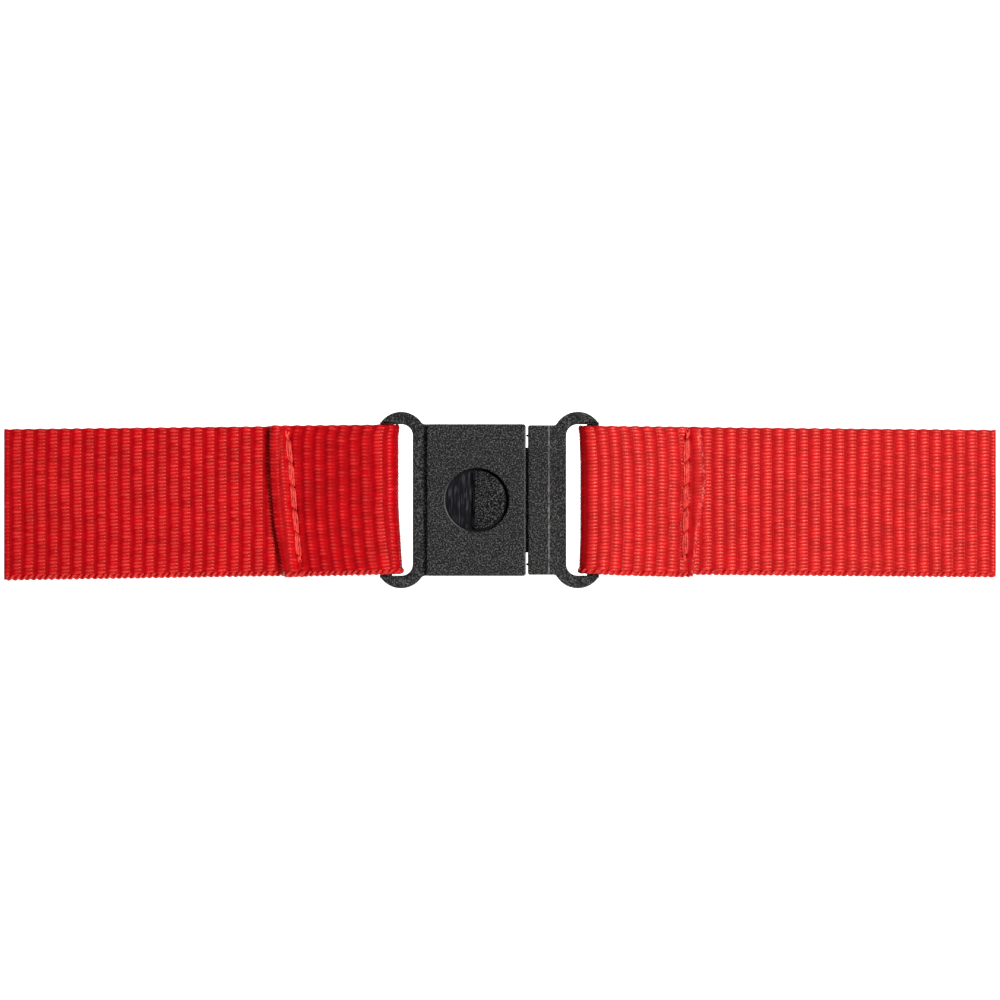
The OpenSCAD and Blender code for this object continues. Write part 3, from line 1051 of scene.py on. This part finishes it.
def make_housing():
    """The sleeve half: a flat box open at its mouth, with the latch's round window in its top."""
    box = prism(
        rounded_box(*HOUSING_X, -HOUSING_W / 2, HOUSING_W / 2, CORNER_R), 0, BUCKLE_H, EDGE_R, 4
    )
    slot_x = bars["left_strap_swing"][0] + BAR_OFFSET
    plate, bar = strap_loop(slot_x, 1, HOUSING_W, HOUSING_X[0] + 0.5 - slot_x)
    cavity = prism(rounded_box(*CAVITY, 0.2), *CAVITY_Z, 0.05, 1)
    groove = prism(
        rounded_box(WINDOW_X, HOUSING_X[1] + 1, -GROOVE_W / 2, GROOVE_W / 2, 0.2),
        CAVITY_Z[1] - 0.2,
        CAVITY_Z[1] + GROOVE_T,
        0.05,
        1,
    )
    # The window's edge is chamfered
    profile = [
        (WINDOW_R, CAVITY_Z[1] - 0.3),
        (WINDOW_R, BUCKLE_H - WINDOW_EDGE),
        (WINDOW_R + WINDOW_EDGE + 0.3, BUCKLE_H + 0.3),
        (WINDOW_R + WINDOW_EDGE + 0.3, BUCKLE_H + 0.5),
    ]
    window = moved(lathe(profile, 128), (WINDOW_X, 0, 0))
    return combine(
        "housing_moulding",
        box,
        ("UNION", plate),
        ("UNION", bar),
        ("DIFFERENCE", cavity),
        ("DIFFERENCE", groove),
        ("DIFFERENCE", window),
    )


def block_outline(slot_x):
    """The plug's block in side view, X and Z, anticlockwise, with its corners rounded."""
    end_x = slot_x - SLOT_R
    z0, z1 = MID_Z - LOOP_T / 2, MID_Z + LOOP_T / 2
    corners = [
        (BLOCK_X, MID_Z, 0),
        (BLOCK_X, 0, EDGE_R),
        (CREASE_X, 0, 1.3),
        (end_x, z0, 0.1),
        (end_x, z1, 0.1),
        (CREASE_X, BUCKLE_H, 1.3),
        (BLOCK_X, BUCKLE_H, EDGE_R),
        (BLOCK_X, MID_Z, 0),
    ]
    return [tuple(p) for p in filleted(corners)][:-1]


def make_plug():
    """The tongue half: a wedge-backed block, its strap loop, and two rails joined at the tip."""
    slot_x = bars["right_strap_swing"][0] - BAR_OFFSET
    block = prism(block_outline(slot_x), -BLOCK_W / 2, BLOCK_W / 2, EDGE_R, 4)
    block = mapped_to(block, lambda x, y, z: (x, -z, y))
    plate, bar = strap_loop(slot_x, -1, BLOCK_W, slot_x - CREASE_X - 0.2)
    tongue = prism(rounded_box(*TONGUE, 0.3), *TONGUE_Z, 0.12, 2)
    slit = prism(rounded_box(*SLIT, 0.25), TONGUE_Z[0] - 0.5, TONGUE_Z[1] + 0.5, 0.05, 1)
    steps = [("UNION", plate), ("UNION", bar), ("UNION", tongue), ("DIFFERENCE", slit)]
    reach = BLOCK_X - HOUSING_X[1] - 0.06
    for side in (-1, 1):
        pip = lathe([(PIP_R, -0.3), (PIP_R, reach - 0.04), (PIP_R - 0.04, reach)], 20)
        steps.append(
            ("UNION", mapped_to(pip, lambda x, y, z, s=side: (BLOCK_X - z, s * PIP_Y + x, MID_Z + y)))
        )
    return combine("plug_moulding", block, *steps)


def boss_top(x):
    """Height of the snap boss: a short ramp, a long top that rises a little, and a steep back."""
    stations = [BOSS_FLAT_X, BOSS_FLAT_X + 0.42, BOSS_FLAT_X + 0.62, 0.3, 0.5, 0.77]
    return np.interp(x, stations, [4.55, 4.95, 5.0, 5.1, 5.08, 4.8])


def make_latch():
    """The spring finger: a flat tongue hinged at its root, with the dished snap boss on it."""
    top = TONGUE_Z[1]
    plate = prism(rounded_box(*FINGER, 0.25), top - FINGER_T, top, 0.12, 3)
    half = FINGER[3]
    root_r = FINGER_T / 2
    root = lathe([(root_r, -half), (root_r, half)], 48)
    root = mapped_to(root, lambda x, y, z: (FINGER[0] + x, z, top - root_r + y))
    flat = math.degrees(math.acos((BOSS_FLAT_X - WINDOW_X) / BOSS_R))
    arc = arc_points((WINDOW_X, 0), BOSS_R, -flat, flat, 5)
    outline = arc_points((BOSS_FLAT_X + 0.3, arc[0][1] + 0.3), 0.3, 180, 270, 30)
    outline = [(x, max(y, arc[0][1])) for x, y in outline] + arc[2:-2] + mirrored(outline)
    # Cuts across the boss give its top enough points to follow the profile
    boss = new_object("latch_moulding", *prism(outline, top - 0.4, BUCKLE_H, 0.02, 1))
    for x in (BOSS_FLAT_X + 0.42, BOSS_FLAT_X + 0.52, BOSS_FLAT_X + 0.62, 0.3, 0.4, 0.5):
        split_at(boss, x)
    for vertex in boss.data.vertices:
        if vertex.co.z > 5 * MM:
            vertex.co.z = boss_top(vertex.co.x / MM) * MM
    ball = (DISH_R**2 + DISH_DEPTH**2) / (2 * DISH_DEPTH)
    rim_z = boss_top(DISH_X)
    bowl = [(r, rim_z - DISH_DEPTH + ball - math.sqrt(ball**2 - r**2)) for r in np.linspace(0.1, DISH_R, 9)]
    bowl += [(DISH_R + 0.1, rim_z + 0.03), (DISH_R + 0.1, rim_z + 0.6)]
    dish = moved(lathe(bowl, 64), (DISH_X, 0, 0))
    return combine("latch_moulding", boss, ("UNION", plate), ("UNION", root), ("DIFFERENCE", dish))


# Painted highlights along the housing's mouth edge and the window's edge, and along the plug's crease
window_edge = (WINDOW_X, WINDOW_R + 0.07)
housing_plastic = plastic_material("housing_plastic", HOUSING_X[1] - 0.12, 0.42, window_edge)
finish_moulding(make_housing(), housing_plastic, "female_housing", "housing")
plug_plastic = plastic_material("plug_plastic", CREASE_X - 0.06, 1.0)
finish_moulding(make_plug(), plug_plastic, "male_plug", "plug")
finish_moulding(make_latch(), latch_material(), "latch_finger", "latch")

# ------------------------------------------------------------------ soft pieces

# The same dye for both straps, in lit and shaded copies: the right strap's floats take their painted
# highlight from lower crests on, as that strap tilts towards the key light
cloth = {
    "left": cloth_material("left_cloth", 0.36, (0.82, 1.0, 0.62)),
    "right": cloth_material("right_cloth", 0.62, (0.55, 0.95, 0.45)),
}
thread = thread_material()
for ribbon in (left, right):
    piece = make_ribbon(ribbon)
    piece.data.materials.append(cloth[ribbon.name])
    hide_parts(ribbon.name + "_ribbon")
    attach(piece, ribbon.name + "_strap")
    cord = make_edge_cord(ribbon, cloth[ribbon.name])
    make_threads(ribbon, thread)

# ------------------------------------------------------------------ floor, lights and camera


def make_floor():
    """A white floor that glows, as a light table does, so the part throws no shadow on it."""
    half = 2000
    verts = [(x, y, -FLOOR_DROP) for x, y in ((-half, -half), (half, -half), (half, half), (-half, half))]
    obj = new_object("floor", verts, [(0, 1, 2, 3)], smooth=False)
    material, shader, _ = new_material("floor_white", (0.8, 0.8, 0.8), 0.9)
    shader.inputs["Emission Color"].default_value = (1, 1, 1, 1)
    shader.inputs["Emission Strength"].default_value = 1.0
    shader.inputs["Specular IOR Level"].default_value = 0.0
    obj.data.materials.append(material)


def area_light(name, place, size, power):
    """A soft square light at place, in millimetres, aimed at the middle of the part."""
    lamp = bpy.data.lights.new(name, "AREA")
    lamp.size = size * MM
    lamp.energy = power
    obj = bpy.data.objects.new(name, lamp)
    obj.location = Vector(place) * MM
    obj.rotation_euler = (-obj.location).to_track_quat("-Z", "Y").to_euler()
    bpy.context.scene.collection.objects.link(obj)


def make_camera():
    """Looks straight down on the middle of the part, through a long lens."""
    cam = bpy.data.cameras.new("camera")
    cam.lens = LENS
    cam.sensor_width = SENSOR
    cam.clip_start, cam.clip_end = 0.05, 20
    obj = bpy.data.objects.new("camera", cam)
    height = VIEW_W * LENS / SENSOR + VIEW_Z
    obj.location = (0, 0, height * MM)
    bpy.context.scene.collection.objects.link(obj)
    bpy.context.scene.camera = obj


def make_world():
    """A studio that is white up to just over the horizon and dim above."""
    world = bpy.data.worlds.new("studio")
    world.use_nodes = True
    add = adder(world.node_tree)
    place = add("ShaderNodeTexCoord").outputs["Generated"]
    height = add("ShaderNodeSeparateXYZ", Vector=place).outputs["Z"]
    background = world.node_tree.nodes["Background"]
    background.inputs["Color"].default_value = (1, 1, 1, 1)
    put(background.inputs["Strength"], mapped(add, height, 0.06, 0.16, 1.0, 0.05))
    bpy.context.scene.world = world


make_floor()
area_light("key", (150, 76, 370), 125, 1.8)
area_light("fill", (40, -400, 280), 260, 1.3)
make_world()
bpy.context.scene.view_settings.view_transform = "Standard"
make_camera()
